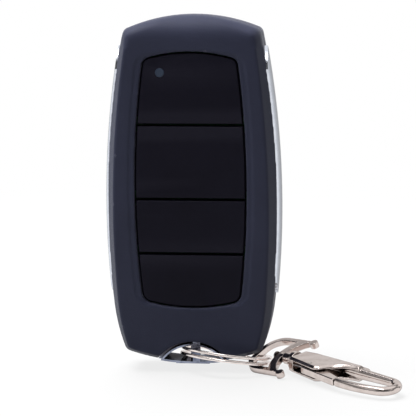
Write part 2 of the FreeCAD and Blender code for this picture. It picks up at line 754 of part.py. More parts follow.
def cell_clip():
    """A bent strap over the cell, with both feet on the board."""
    cell_back = BOARD_BACK_Y + CONTACT_THICKNESS + CELL_THICKNESS
    reach = CELL_RADIUS + SLIDE_CLEARANCE
    end = reach + CONTACT_THICKNESS
    half = CONTACT_WIDTH / 2
    low, high = CELL_Z - half, CELL_Z + half
    strap = block(-end, end, cell_back, cell_back + CONTACT_THICKNESS, low, high)
    for sign in (-1, 1):
        near, far = sorted((sign * reach, sign * end))
        strap = strap.fuse(block(near, far, BOARD_BACK_Y, cell_back, low, high))
        foot_near, foot_far = sorted((sign * reach, sign * (end + CLIP_FOOT)))
        strap = strap.fuse(block(foot_near, foot_far, BOARD_BACK_Y,
                                 BOARD_BACK_Y + CONTACT_THICKNESS, low, high))
    return strap.removeSplitter()


# Keyring bracket: a half-moon with a flat foot, two windows, a post between them and a plate before it

def keyring_bracket():
    """A half-moon frame with a post, a plate, a foot and a tongue, and a flange in the gap round it."""
    front = BRACKET_FRONT_Y
    back = BRACKET_BACK_Y
    outer = NOTCH_RADIUS - BRACKET_GAP
    centre_z = NOTCH_TOP_Z - NOTCH_RADIUS
    moon = rod(outer, 0, centre_z, front, back).common(CASE.prism(front, back))
    windows = rod(outer - BRACKET_RIM, 0, centre_z, -FAR, FAR)
    windows = windows.common(CASE.prism(-FAR, FAR, BRACKET_BAND))
    windows = windows.cut(block(-POST_HALF_WIDTH, POST_HALF_WIDTH, -POST_HALF_DEPTH,
                                POST_HALF_DEPTH, -FAR, FAR))
    plate = block(POST_PLATE_LEFT, POST_PLATE_RIGHT, front, front + POST_PLATE_DEPTH, 0, NOTCH_TOP_Z)
    windows = windows.cut(plate)
    seat = rod(NOTCH_RADIUS - SEAT_CLEARANCE, 0, centre_z, -FAR, FAR)
    seat = seat.common(CASE.prism(front, back, SEAT_CLEARANCE))
    groove_y = front + BRACKET_GROOVE
    flange = seat.common(block(-FAR, FAR, groove_y, groove_y + BRACKET_FLANGE, -FAR, FAR))
    moon = moon.fuse([flange, seat.common(plate)]).cut(windows)
    rise = FOOT_HALF_WIDTH ** 2 / (2 * BASE_RADIUS)
    foot = block(-FOOT_HALF_WIDTH, FOOT_HALF_WIDTH, front, back, 0, rise + FOOT_OVERLAP)
    moon = moon.fuse(foot)
    tongue = block(-TONGUE_HALF_WIDTH, TONGUE_HALF_WIDTH, -TONGUE_HALF_DEPTH, TONGUE_HALF_DEPTH,
                   NOTCH_TOP_Z - BRACKET_GAP - BRACKET_RIM, TONGUE_TOP_Z)
    tongue = tongue.cut(rod(BOSS_RADIUS + SLIDE_CLEARANCE, 0, SCREW_BASE_Z, -FAR, FAR))
    return moon.fuse(tongue).removeSplitter()


# Split ring: two flat turns and one step between them, swept as one wire

def turn_point(angle, height):
    rad = math.radians(angle)
    return Vector(RING_RADIUS * math.cos(rad), RING_RADIUS * math.sin(rad), height)


def turn_tangent(angle):
    rad = math.radians(angle)
    return Vector(-math.sin(rad), math.cos(rad), 0)


def tangent_arc(start, corner, end):
    """The arc that leaves start towards corner and reaches end along the same distance."""
    weight = (end - start).Length / 2 / (corner - start).Length
    middle = (start + corner * (2 * weight) + end) * (1 / (2 + 2 * weight))
    return Part.Arc(start, middle, end).toShape()


def biarc(start, start_way, end, end_way):
    """Two arcs that join two points and keep both directions."""
    span = end - start
    ways = start_way + end_way
    turn = 2 * (1 - start_way.dot(end_way))
    reach = (math.sqrt(span.dot(ways) ** 2 + turn * span.dot(span)) - span.dot(ways)) / turn
    first = start + start_way * reach
    second = end - end_way * reach
    join = (first + second) * 0.5
    return [tangent_arc(start, first, join), tangent_arc(join, second, end)]


def ring_edges():
    """The wire's centre line, from its lower end round to its upper end."""
    half = RING_PITCH / 2
    step = RING_STEP_ANGLE
    edges = []
    lower_start = step + RING_END_GAP
    quarter = (FULL_TURN - lower_start) / 4
    for part in range(4):
        angle = lower_start + part * quarter
        edges += biarc(turn_point(angle, -half), turn_tangent(angle),
                       turn_point(angle + quarter, -half), turn_tangent(angle + quarter))
    edges += biarc(turn_point(0, -half), turn_tangent(0), turn_point(step, half), turn_tangent(step))
    quarter = (360 - step - RING_END_GAP) / 4
    for part in range(4):
        angle = step + part * quarter
        edges += biarc(turn_point(angle, half), turn_tangent(angle),
                       turn_point(angle + quarter, half), turn_tangent(angle + quarter))
    return edges


def ring_place():
    """The ring leans: its right end is low and its near side is high."""
    lean = Rotation(Vector(0, 1, 0), RING_ROLL).multiply(Rotation(Vector(1, 0, 0), -RING_TILT))
    return Placement(Vector(RING_X, RING_Y, RING_Z), lean)


def print_ring_gap(edges):
    """The least distance between two stretches of the wire that are over half a turn apart."""
    points = []
    for edge in edges:
        count = 24
        for step in range(count):
            at = edge.FirstParameter + (edge.LastParameter - edge.FirstParameter) * step / count
            points.append(edge.valueAt(at))
    half_turn = len(points) // 4
    least = FAR
    for i in range(len(points)):
        for j in range(i + half_turn, len(points)):
            apart = points[j] - points[i]
            flat = math.hypot(apart.x, apart.y) - RING_WIRE_WIDTH
            rise = abs(apart.z) - RING_WIRE_HEIGHT
            gap = math.hypot(max(flat, 0), max(rise, 0)) if max(flat, rise) > 0 else 0.0
            least = min(least, gap)
    print("split ring: least gap to itself %.3f mm" % least)


def split_ring():
    edges = ring_edges()
    print_ring_gap(edges)
    spine = Part.Wire(edges)
    start = spine.Edges[0].valueAt(spine.Edges[0].FirstParameter)
    out = Vector(start.x, start.y, 0).normalize()
    up = Vector(0, 0, 1)
    flat = (RING_WIRE_WIDTH - RING_WIRE_HEIGHT) / 2
    round_half = RING_WIRE_HEIGHT / 2
    corners = [start + out * flat + up * round_half, start + out * (flat + round_half),
               start + out * flat - up * round_half, start - out * flat - up * round_half,
               start - out * (flat + round_half), start - out * flat + up * round_half]
    section = Part.Wire([
        Part.Arc(corners[0], corners[1], corners[2]).toShape(),
        Part.makeLine(corners[2], corners[3]),
        Part.Arc(corners[3], corners[4], corners[5]).toShape(),
        Part.makeLine(corners[5], corners[0]),
    ])
    ring = spine.makePipeShell([section], True, False)
    area = flat * 4 * round_half + math.pi * round_half ** 2
    print("split ring: volume %.2f, section times length %.2f" % (ring.Volume, area * spine.Length))
    ring.rotate(Vector(0, 0, 0), Vector(0, 0, 1), RING_STEP_AT)
    return ring.transformed(ring_place().toMatrix())


# Clasp and swivel eye, in the clasp's axes: x along it, y away from the viewer, z up

def clasp_place():
    """The swivel point hangs from the right end of the ring."""
    turn = Rotation(CLASP_YAW, CLASP_PITCH, CLASP_ROLL)
    ring_end = ring_place().multVec(Vector(RING_RADIUS, 0, 0))
    return Placement(ring_end + turn.multVec(Vector(EYE_HANG, 0, 0) + EYE_OFFSET), turn)


def band_middle():
    """The middle of the eye's base band, on the swivel's axis."""
    return Vector(-COLLAR_LENGTH - EYE_RIBBON / 2, 0, 0)


def eye_place():
    """The eye turns on the swivel and leans in its play."""
    turn = Rotation(CLASP_YAW, CLASP_PITCH + EYE_TILT, CLASP_ROLL + EYE_ROLL)
    middle = clasp_place().multVec(band_middle())
    return Placement(middle - turn.multVec(band_middle()), turn)


def posed(shape, place):
    return shape.transformed(place.toMatrix())


def plate(wire, z_from, z_to):
    face = Part.Face(wire)
    face.translate(Vector(0, 0, z_from))
    return face.extrude(Vector(0, 0, z_to - z_from))


def disc(radius, x, y, z_from, z_to):
    return Part.makeCylinder(radius, z_to - z_from, Vector(x, y, z_from))


def shaft(radius, x_from, x_to):
    return Part.makeCylinder(radius, x_to - x_from, Vector(x_from, 0, 0), Vector(1, 0, 0))


def d_wire(grow, apex, arch_radius):
    """A D with round corners, closed at its foot by an arch that bows into it."""
    half = EYE_HALF_WIDTH + grow
    reach = EYE_REACH + grow
    corner = EYE_CORNER + grow
    start = corner - reach
    side = half - corner
    foot = apex + arch_radius - math.sqrt(arch_radius ** 2 - half ** 2)
    bend_x = start - corner * math.cos(math.radians(45))
    bend_y = side + corner * math.sin(math.radians(45))
    return Part.Wire([
        Part.makeLine(Vector(foot, -half, 0), Vector(start, -half, 0)),
        Part.Arc(Vector(start, -half, 0), Vector(bend_x, -bend_y, 0), Vector(-reach, -side, 0)).toShape(),
        Part.makeLine(Vector(-reach, -side, 0), Vector(-reach, side, 0)),
        Part.Arc(Vector(-reach, side, 0), Vector(bend_x, bend_y, 0), Vector(start, half, 0)).toShape(),
        Part.makeLine(Vector(start, half, 0), Vector(foot, half, 0)),
        Part.Arc(Vector(foot, half, 0), Vector(apex, 0, 0), Vector(foot, -half, 0)).toShape(),
    ])


def swivel_eye():
    high = EYE_DEPTH / 2
    ribbon = EYE_RIBBON
    band_front = -COLLAR_LENGTH
    outline = d_wire(ribbon / 2, band_front, EYE_ARCH_RADIUS)
    body = plate(outline, -high, high)
    hole = d_wire(-ribbon / 2, band_front - EYE_BAND, EYE_ARCH_RADIUS + EYE_BAND)
    body = body.cut(plate(hole, -high - 1, high + 1))
    for sign in (-1, 1):
        ear = disc(EYE_EAR, outline.BoundBox.XMax - EYE_EAR / 2, sign * (EYE_HALF_WIDTH + ribbon / 4),
                   -high, high)
        body = body.fuse(ear)
    boss = shaft(EYE_BOSS, band_front - EYE_BAND / 2, band_front + EYE_BOSS_RISE)
    body = body.fuse(boss).removeSplitter()
    return body.cut(shaft(RIVET_RADIUS + RIVET_CLEARANCE, -EYE_REACH / 2 - EYE_BAND / 2, FAR / 2))


def swivel_rivet():
    """A headed pin: the head holds the eye, the collar spaces it from the housing."""
    eye_front = -COLLAR_LENGTH
    eye_back = eye_front - EYE_BAND
    head_front = eye_back - SWIVEL_PLAY
    head = shaft(RIVET_HEAD, head_front - RIVET_HEAD_HEIGHT, head_front)
    rim = [edge for edge in head.Edges if abs(edge.CenterOfMass.x - head_front + RIVET_HEAD_HEIGHT) < 0.01]
    head = head.makeFillet(RIVET_HEAD_EDGE, rim)
    shank = shaft(RIVET_RADIUS, head_front, HOUSING_START + HOUSING_END_WALL)
    return head.fuse(shank).removeSplitter()


def housing_wire():
    """The housing from above: it widens to its near corner, then tapers into the spine."""
    points = [Vector(HOUSING_START, HOUSING_NEAR_START, 0),
              Vector(HOUSING_NEAR_LENGTH, HOUSING_NEAR_END, 0),
              Vector(HOUSING_NEAR_LENGTH + HOUSING_NOSE_LENGTH, HOUSING_NEAR_END + HOUSING_NOSE_STEP, 0)]
    taper_mid = Vector(HOUSING_NEAR_LENGTH + HOUSING_TAPER_BEND_X, HOUSING_TAPER_BEND_Y, 0)
    taper_end = Vector(HOUSING_TAPER_END, SPINE_INNER_Y, 0)
    far_end = Vector(HOUSING_TAPER_END, SPINE_OUTER_Y, 0)
    far_start = Vector(HOUSING_START, -HOUSING_NEAR_START, 0)
    far_bend = Vector(HOUSING_START + HOUSING_FAR_BEND, SPINE_OUTER_Y, 0)
    return Part.Wire([
        Part.makeLine(points[0], points[1]),
        Part.makeLine(points[1], points[2]),
        Part.Arc(points[2], taper_mid, taper_end).toShape(),
        Part.makeLine(taper_end, far_end),
        Part.makeLine(far_end, far_bend),
        Part.makeLine(far_bend, far_start),
        Part.makeLine(far_start, points[0]),
    ])


def heading(angle):
    """The direction at an angle in the clasp's flat plane."""
    rad = math.radians(angle)
    return Vector(math.cos(rad), math.sin(rad), 0)


def hook_end():
    """The centre of the hook's end bend."""
    return Vector(HOOK_END_X, HOOK_FAR_Y - HOOK_END_RADIUS, 0)


def near_centre():
    """The centre of the long bend of the near arm, tangent to the end bend."""
    return hook_end() + heading(HOOK_NEAR_START) * (HOOK_END_RADIUS - HOOK_NEAR_RADIUS)


def nose_angle():
    return -math.degrees(math.acos((HOOK_NOSE_X - near_centre().x) / HOOK_NEAR_RADIUS))


def nose_y():
    return (near_centre() + heading(nose_angle()) * HOOK_NEAR_RADIUS).y


def bend(centre, bend_radius, from_angle, to_angle):
    """A round bar of the hook's wire along an arc, from one angle down to another."""
    start = centre + heading(from_angle) * bend_radius
    face = Part.Face(Part.Wire([Part.makeCircle(HOOK_WIRE, start, heading(from_angle + 90))]))
    return face.revolve(centre, Vector(0, 0, -1), from_angle - to_angle)


def hook():
    """The hook's round wire: along the spine, round the end and back to the nose."""
    start = HOUSING_TAPER_END - HOOK_ROOT
    arm = Part.makeCone(HOOK_ROOT_WIRE, HOOK_WIRE, HOOK_END_X - start, Vector(start, HOOK_FAR_Y, 0),
                        Vector(1, 0, 0))
    end = bend(hook_end(), HOOK_END_RADIUS, 90, HOOK_NEAR_START)
    near = bend(near_centre(), HOOK_NEAR_RADIUS, HOOK_NEAR_START, nose_angle())
    return arm.fuse(end).fuse(near)


def clasp_body():
    """Two plates on an end wall and a spine, and the round hook that grows out of them."""
    high = HOUSING_HALF_HEIGHT
    body = plate(housing_wire(), -high, high)
    outline = [edge for edge in body.Edges if abs(abs(edge.CenterOfMass.z) - high) < 0.01]
    body = body.makeChamfer(HOUSING_EDGE, outline)
    slot_start = HOUSING_START + HOUSING_END_WALL
    slot_far = SPINE_OUTER_Y - SPINE_WALL
    slot = Part.makeBox(FAR, slot_far + FAR, 2 * SLOT_HALF_HEIGHT,
                        Vector(slot_start, -FAR, -SLOT_HALF_HEIGHT))
    body = body.cut(slot)
    body = body.fuse(hook())
    body = body.fuse(shaft(NECK_RADIUS, EYE_BOSS_RISE + SWIVEL_PLAY - COLLAR_LENGTH, HOUSING_START))
    body = body.fuse(shaft(COLLAR_RADIUS, HOUSING_START - COLLAR_HEIGHT, HOUSING_START))
    tab = disc(TAB_LENGTH / 2, TAB_X, SPINE_OUTER_Y - TAB_LENGTH / 2 + TAB_HEIGHT,
               -TAB_HALF_THICKNESS, TAB_HALF_THICKNESS)
    tab = tab.common(Part.makeBox(FAR, FAR, FAR, Vector(0, SPINE_OUTER_Y - 0.5, -FAR / 2)))
    body = body.fuse(tab).removeSplitter()
    body = body.cut(shaft(RIVET_RADIUS, -FAR / 2, slot_start))
    return body.cut(disc(PIN_RADIUS, PIN_X, pin_y(), -FAR / 2, FAR / 2))


def gate_outer_y(x):
    share = (x - GATE_START_X) / (HOOK_NOSE_X - GATE_START_X)
    return GATE_OUTER_START + share * (nose_y() - HOOK_WIRE - GATE_OUTER_START)


def pin_y():
    return gate_outer_y(PIN_X) + GATE_WIDTH / 2 + PIN_OFFSET


def clasp_gate():
    """A flat bar in the housing's slot, forked round the spring at its pivot."""
    end = HOOK_NOSE_X - GATE_GAP
    high = GATE_HALF_HEIGHT
    wire = Part.makePolygon([
        Vector(GATE_START_X, gate_outer_y(GATE_START_X), 0),
        Vector(end, gate_outer_y(end), 0),
        Vector(end, gate_outer_y(end) + GATE_WIDTH, 0),
        Vector(PIN_X + GATE_HEEL_LENGTH, gate_outer_y(PIN_X) + GATE_WIDTH + GATE_HEEL, 0),
        Vector(GATE_START_X, gate_outer_y(GATE_START_X) + GATE_WIDTH + GATE_HEEL, 0),
        Vector(GATE_START_X, gate_outer_y(GATE_START_X), 0),
    ])
    bar = plate(wire, -high, high)
    outer = [edge for edge in bar.Edges if abs(abs(edge.CenterOfMass.z) - high) < 0.01]
    bar = bar.makeChamfer(GATE_EDGE, outer)
    fork = Part.makeBox(GATE_FORK_LENGTH, FAR, 2 * GATE_FORK,
                        Vector(PIN_X - GATE_FORK_LENGTH / 2, pin_y() - SPRING_RADIUS - SPRING_ROOM, -GATE_FORK))
    bar = bar.cut(fork)
    return bar.cut(disc(PIN_RADIUS + PIN_CLEARANCE, PIN_X, pin_y(), -FAR / 2, FAR / 2))


def gate_pin():
    return disc(PIN_RADIUS, PIN_X, pin_y(), -HOUSING_HALF_HEIGHT, HOUSING_HALF_HEIGHT)


def gate_spring():
    """A small torsion coil on the pin, with a leg to the housing's end wall."""
    high = GATE_FORK - SEAT_CLEARANCE
    coil = disc(SPRING_RADIUS, PIN_X, pin_y(), -high, high)
    coil = coil.cut(disc(PIN_RADIUS + SEAT_CLEARANCE, PIN_X, pin_y(), -FAR / 2, FAR / 2))
    leg_y = pin_y() + SPRING_RADIUS - SPRING_LEG
    leg = Part.makeBox(PIN_X - HOUSING_START - HOUSING_END_WALL, SPRING_LEG, SPRING_LEG,
                       Vector(HOUSING_START + HOUSING_END_WALL, leg_y, -SPRING_LEG / 2))
    return coil.fuse(leg).removeSplitter()


# Write every piece

def pieces():
    made = {
        "front_cover": front_cover(),
        "rear_cover": rear_cover(),
        "right_side_trim": side_trim(),
        "left_side_trim": mirrored(side_trim()),
        "keyring_bracket": keyring_bracket(),
        "case_screws": case_screws(),
        "led_lens": led_lens(),
        "circuit_board": circuit_board(),
        "status_led": status_led(),
        "microcontroller": microcontroller(),
        "resonator": resonator(),
        "chip_parts": chip_parts(),
        "loop_antenna": loop_antenna(),
        "coin_cell": coin_cell(),
        "cell_clip": cell_clip(),
        "cell_negative_contact": cell_negative_contact(),
        "split_ring": split_ring(),
        "swivel_eye": posed(swivel_eye(), eye_place()),
        "swivel_rivet": posed(swivel_rivet(), clasp_place()),
        "clasp_body": posed(clasp_body(), clasp_place()),
        "clasp_gate": posed(clasp_gate(), clasp_place()),
        "gate_pin": posed(gate_pin(), clasp_place()),
        "gate_spring": posed(gate_spring(), clasp_place()),
    }
    for number, (low, high) in enumerate(key_limits(), 1):
        centre = key_centre(low, high)
        made["key_%d" % number] = key(number, low, high)
        made["key_switch_%d" % number] = switch_body(centre)
        made["switch_stem_%d" % number] = switch_stem(centre)
    return made


os.makedirs("parts", exist_ok=True)
for name, shape in pieces().items():
    solids = len(shape.Solids)
    print("%-22s solids %d  volume %9.2f  valid %s" % (name, solids, shape.Volume, shape.isValid()))
    shape.exportStep(os.path.join("parts", name + ".step"))
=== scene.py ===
import math

import bpy
import bmesh
from mathutils import Matrix, Quaternion, Vector


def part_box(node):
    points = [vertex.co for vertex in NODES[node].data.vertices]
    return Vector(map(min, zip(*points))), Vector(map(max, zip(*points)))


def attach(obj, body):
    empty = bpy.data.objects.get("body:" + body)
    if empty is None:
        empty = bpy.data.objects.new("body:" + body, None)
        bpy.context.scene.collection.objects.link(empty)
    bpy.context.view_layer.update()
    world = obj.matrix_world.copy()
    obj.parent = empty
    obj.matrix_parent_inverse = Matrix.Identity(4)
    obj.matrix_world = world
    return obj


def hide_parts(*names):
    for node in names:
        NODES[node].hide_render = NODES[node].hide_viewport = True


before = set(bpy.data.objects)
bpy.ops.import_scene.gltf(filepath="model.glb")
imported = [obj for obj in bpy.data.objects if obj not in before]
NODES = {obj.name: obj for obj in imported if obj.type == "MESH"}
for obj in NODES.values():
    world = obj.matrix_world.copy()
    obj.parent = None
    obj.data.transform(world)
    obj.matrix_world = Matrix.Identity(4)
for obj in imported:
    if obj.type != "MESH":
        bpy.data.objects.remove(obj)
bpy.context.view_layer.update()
MM = 0.001
FLOOR_Z = min(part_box(name)[0].z for name in NODES)
COOL_WHITE = (0.95, 0.97, 1.0)

# Sockets of a Mix node that blends colours
MIX_FACTOR, MIX_FIRST, MIX_SECOND, MIX_RESULT = 0, 6, 7, 2


# Node helpers
def empty_material(name):
    """A node material that holds only its output."""
    material = bpy.data.materials.new(name)
    material.use_nodes = True
    tree = material.node_tree
    tree.nodes.clear()
    return material, tree, tree.nodes.new("ShaderNodeOutputMaterial")


def new_material(name):
    """A node material with its Principled shader."""
    material, tree, out = empty_material(name)
    shader = tree.nodes.new("ShaderNodeBsdfPrincipled")
    tree.links.new(shader.outputs["BSDF"], out.inputs["Surface"])
    return material, tree, shader


def linear(red, green, blue):
    """A colour written as it looks on screen, 0 to 255, taken back through the sRGB curve."""
    def channel(value):
        value /= 255
        return value / 12.92 if value <= 0.04045 else ((value + 0.055) / 1.055) ** 2.4
    return (channel(red), channel(green), channel(blue), 1.0)


def object_coordinates(tree):
    return tree.nodes.new("ShaderNodeTexCoord").outputs["Object"]


def noise(tree, vector, per_mm, detail=3.0, roughness=0.5):
    """Noise with about that many spots to a millimetre."""
    node = tree.nodes.new("ShaderNodeTexNoise")
    node.inputs["Scale"].default_value = per_mm / MM
    node.inputs["Detail"].default_value = detail
    node.inputs["Roughness"].default_value = roughness
    tree.links.new(vector, node.inputs["Vector"])
    return node.outputs["Fac"]


def remap(tree, value, source, target=(0.0, 1.0)):
    """Carries a value from one span to another and clips it at both ends."""
    node = tree.nodes.new("ShaderNodeMapRange")
    for end, number in zip(("From Min", "From Max", "To Min", "To Max"), (*source, *target)):
        node.inputs[end].default_value = number
    tree.links.new(value, node.inputs["Value"])
    return node.outputs["Result"]


def mix_colour(tree, factor, first, second):
    """Blends two colours, each a plain colour or another node's output."""
    node = tree.nodes.new("ShaderNodeMix")
    node.data_type = "RGBA"
    tree.links.new(factor, node.inputs[MIX_FACTOR])
    for socket, colour in ((node.inputs[MIX_FIRST], first), (node.inputs[MIX_SECOND], second)):
        if isinstance(colour, tuple):
            socket.default_value = colour
        else:
            tree.links.new(colour, socket)
    return node.outputs[MIX_RESULT]


def mix_surface(tree, out, factor, first, second):
    """Shows the first shader where the factor is 0 and the second where it is 1."""
    node = tree.nodes.new("ShaderNodeMixShader")
    for socket, source in zip(node.inputs, (factor, first.outputs[0], second.outputs[0])):
        tree.links.new(source, socket)
    tree.links.new(node.outputs[0], out.inputs["Surface"])


def arithmetic(tree, operation, first, second):
    """A sum, product or maximum of two values, each a number or another node's output."""
    node = tree.nodes.new("ShaderNodeMath")
    node.operation = operation
    for socket, value in zip(node.inputs, (first, second)):
        if isinstance(value, (int, float)):
            socket.default_value = value
        else:
            tree.links.new(value, socket)
    return node.outputs[0]


def bump(tree, shader, height, depth_mm, strength=1.0):
    node = tree.nodes.new("ShaderNodeBump")
    node.inputs["Distance"].default_value = depth_mm * MM
    node.inputs["Strength"].default_value = strength
    tree.links.new(height, node.inputs["Height"])
    tree.links.new(node.outputs["Normal"], shader.inputs["Normal"])


# Materials. A span is the pair of values between which a look goes from none to full.
# Painted shade: the dark grey-brown that ambient occlusion lays into the metals' crevices and gaps
CREVICE_SHADE = linear(40, 34, 34)
NOISE_SPAN = (0.3, 0.7)
EDGE_SPAN = (0.54, 0.62)
EDGE_WEAR = 0.35
PLASTIC_CLOUDS_PER_MM = 0.08
PLASTIC_SMOOTHER, PLASTIC_ROUGHER = 0.05, 0.07
SHEEN_ROUGHNESS = 0.35
SHEEN_TINT = (0.86, 0.90, 1.0, 1.0)

METAL_CLOUDS_PER_MM = 0.5
TARNISH_SPAN = (0.40, 0.75)
MARKS_PER_MM = 6.0
MARKS_SPAN = (0.35, 0.7)
MARKS_DEPTH_MM = 0.002
MARKS_STRENGTH = 0.5
HAZE = 0.05
CREVICE_SPAN = (0.15, 0.80)
CREVICE_SAMPLES = 12

GLOSSY_CLOUDS_PER_MM = 0.9
GLOSSY_ROUGHER = 0.08
RIPPLES_PER_MM = 8.0
RIPPLES_DEPTH_MM = 0.002
RIPPLES_STRENGTH = 0.4


def grained_plastic(name, colour, worn, roughness, grain_per_mm, grain_depth_mm, speckle=0.12,
                    gloss=0.5, sheen=0.0):
    """Moulded plastic with a fine spark-eroded grain and paler outer edges."""
    material, tree, shader = new_material(name)
    shader.inputs["Specular IOR Level"].default_value = gloss
    shader.inputs["Sheen Weight"].default_value = sheen
    shader.inputs["Sheen Roughness"].default_value = SHEEN_ROUGHNESS
    shader.inputs["Sheen Tint"].default_value = SHEEN_TINT
    vector = object_coordinates(tree)
    grain = noise(tree, vector, grain_per_mm, roughness=0.6)
    cloud = noise(tree, vector, PLASTIC_CLOUDS_PER_MM)
    paler = tuple(channel * (1 + speckle) for channel in colour[:3]) + (1.0,)
    tone = mix_colour(tree, remap(tree, cloud, NOISE_SPAN), colour, paler)
    geometry = tree.nodes.new("ShaderNodeNewGeometry")
    edges = remap(tree, geometry.outputs["Pointiness"], EDGE_SPAN)
    wear = arithmetic(tree, "MULTIPLY", edges, EDGE_WEAR)
    tree.links.new(mix_colour(tree, wear, tone, worn), shader.inputs["Base Color"])
    rough = remap(tree, grain, NOISE_SPAN, (roughness - PLASTIC_SMOOTHER, roughness + PLASTIC_ROUGHER))
    tree.links.new(rough, shader.inputs["Roughness"])
    bump(tree, shader, grain, grain_depth_mm)
    return material


def polished_metal(name, colour, tarnish, roughness, streak=(1.0, 1.0, 1.0), wear=0.3, rim=0.75,
                   crevice_mm=1.1):
    """Plated metal with faint polishing marks, haze, some tarnish, and painted shade that darkens its
    crevices.
    """
    material, tree, shader = new_material(name)
    shader.inputs["Metallic"].default_value = 1.0
    shader.inputs["Specular Tint"].default_value = (rim, rim, rim, 1.0)
    vector = object_coordinates(tree)
    cloud = noise(tree, vector, METAL_CLOUDS_PER_MM, detail=4.0, roughness=0.6)
    mapping = tree.nodes.new("ShaderNodeMapping")
    mapping.inputs["Scale"].default_value = streak
    tree.links.new(vector, mapping.inputs["Vector"])
    marks = noise(tree, mapping.outputs["Vector"], MARKS_PER_MM, roughness=0.6)
    tone = mix_colour(tree, remap(tree, cloud, TARNISH_SPAN, (0.0, wear)), colour, tarnish)
    # Painted shade: ambient occlusion darkens the colour towards a dark grey-brown in crevices and gaps,
    # where shade falls
    hollow = tree.nodes.new("ShaderNodeAmbientOcclusion")
    hollow.inputs["Distance"].default_value = crevice_mm * MM
    hollow.samples = CREVICE_SAMPLES
    unshaded = remap(tree, hollow.outputs["AO"], CREVICE_SPAN)
    tree.links.new(mix_colour(tree, unshaded, CREVICE_SHADE, tone), shader.inputs["Base Color"])
    haze = arithmetic(tree, "ADD", remap(tree, marks, MARKS_SPAN, (0.0, HAZE)),
                      remap(tree, cloud, NOISE_SPAN, (0.0, HAZE)))
    tree.links.new(arithmetic(tree, "ADD", haze, roughness), shader.inputs["Roughness"])
    bump(tree, shader, arithmetic(tree, "ADD", marks, cloud), MARKS_DEPTH_MM, MARKS_STRENGTH)
    return material


def glossy_plastic(name, colour, second, roughness):
    """Smooth plastic or lacquer, clouded between two colours and faintly rippled."""
    material, tree, shader = new_material(name)
    vector = object_coordinates(tree)
    cloud = noise(tree, vector, GLOSSY_CLOUDS_PER_MM)
    tree.links.new(mix_colour(tree, cloud, colour, second), shader.inputs["Base Color"])
    rough = remap(tree, cloud, NOISE_SPAN, (roughness, roughness + GLOSSY_ROUGHER))
    tree.links.new(rough, shader.inputs["Roughness"])
    ripples = noise(tree, vector, RIPPLES_PER_MM, detail=2.0)
    bump(tree, shader, ripples, RIPPLES_DEPTH_MM, RIPPLES_STRENGTH)
    return material


COVER = grained_plastic("cover_plastic", linear(38, 40, 54), worn=linear(88, 87, 98), roughness=0.50,
                        grain_per_mm=3.6, grain_depth_mm=0.035, speckle=0.2, gloss=0.10, sheen=0.08)
KEY = grained_plastic("key_plastic", linear(14, 13, 22), worn=linear(34, 33, 42), roughness=0.48,
                      grain_per_mm=6.0, grain_depth_mm=0.008, speckle=0.3, gloss=0.07)
CHIP = grained_plastic("chip_epoxy", linear(30, 30, 32), worn=linear(80, 80, 82), roughness=0.55,
                       grain_per_mm=9.0, grain_depth_mm=0.006)
CERAMIC = grained_plastic("ceramic", linear(196, 180, 152), worn=linear(226, 214, 196), roughness=0.5,
                          grain_per_mm=9.0, grain_depth_mm=0.004)
STEM = grained_plastic("stem_plastic", linear(214, 208, 196), worn=linear(236, 232, 224), roughness=0.45,
                       grain_per_mm=8.0, grain_depth_mm=0.004)
TRIM = polished_metal("trim_chrome", linear(222, 226, 235), tarnish=linear(188, 194, 208), roughness=0.12,
                      streak=(1, 1, 0.08), rim=0.42, crevice_mm=0.3)
# The bracket's 3 mm crevice reach paints shade over it where it sits in the case's notch
BRACKET = polished_metal("bracket_chrome", linear(150, 156, 174), tarnish=linear(60, 68, 90),
                         roughness=0.10, wear=0.9, rim=0.4, crevice_mm=3.0)
RING = polished_metal("ring_nickel", linear(250, 240, 236), tarnish=linear(150, 130, 120),
                      roughness=0.16, wear=0.2, rim=0.9, crevice_mm=0.5)
CLASP = polished_metal("clasp_nickel", linear(222, 210, 205), tarnish=linear(120, 98, 84),
                       roughness=0.09, wear=0.25, rim=0.6)
RIVET = polished_metal("rivet_steel", linear(205, 198, 192), tarnish=linear(110, 98, 88), roughness=0.16)
STEEL = polished_metal("plain_steel", linear(190, 190, 194), tarnish=linear(120, 118, 116),
                       roughness=0.24, streak=(1, 1, 0.2))
GOLD = polished_metal("gold_flash", linear(214, 180, 110), tarnish=linear(150, 110, 60), roughness=0.2)
COPPER = polished_metal("copper_strip", linear(214, 150, 104), tarnish=linear(130, 80, 50), roughness=0.25)
LENS = glossy_plastic("lens_smoke", linear(12, 34, 58), second=linear(8, 26, 46), roughness=0.30)
LED = glossy_plastic("led_epoxy", linear(224, 224, 214), second=linear(200, 204, 200), roughness=0.15)
BOARD = glossy_plastic("board_mask", linear(18, 92, 48), second=linear(14, 76, 40), roughness=0.3)

MATERIAL_OF = {
    "front_cover": COVER, "rear_cover": COVER, "right_side_trim": TRIM, "left_side_trim": TRIM,
    "keyring_bracket": BRACKET, "case_screws": STEEL, "led_lens": LENS, "circuit_board": BOARD,
    "status_led": LED, "microcontroller": CHIP, "resonator": STEEL, "chip_parts": CERAMIC,
    "loop_antenna": COPPER, "coin_cell": STEEL, "cell_clip": STEEL, "cell_negative_contact": GOLD,
    "split_ring": RING, "swivel_eye": CLASP, "swivel_rivet": RIVET, "clasp_body": CLASP,
    "clasp_gate": CLASP, "gate_pin": RIVET, "gate_spring": STEEL,
}
for number in (1, 2, 3, 4):
    MATERIAL_OF["key_%d" % number] = KEY
    MATERIAL_OF["key_switch_%d" % number] = STEEL
    MATERIAL_OF["switch_stem_%d" % number] = STEM

for name, node in NODES.items():
    material = MATERIAL_OF[name]
    if not node.material_slots:
        node.data.materials.append(material)
    for place in node.material_slots:
        place.link = "OBJECT"
        place.material = material


# Castings, the eye and the front cover, shown with their edges worn round
MERGE_MM = 0.0005
SMOOTHING = 0.5
CROWN_ROUNDS = 90
CROWN_DEPTH_MM = 6.4
CROWN_FADE_MM = 0.8
FACE_DEPTH_MM = 5.0
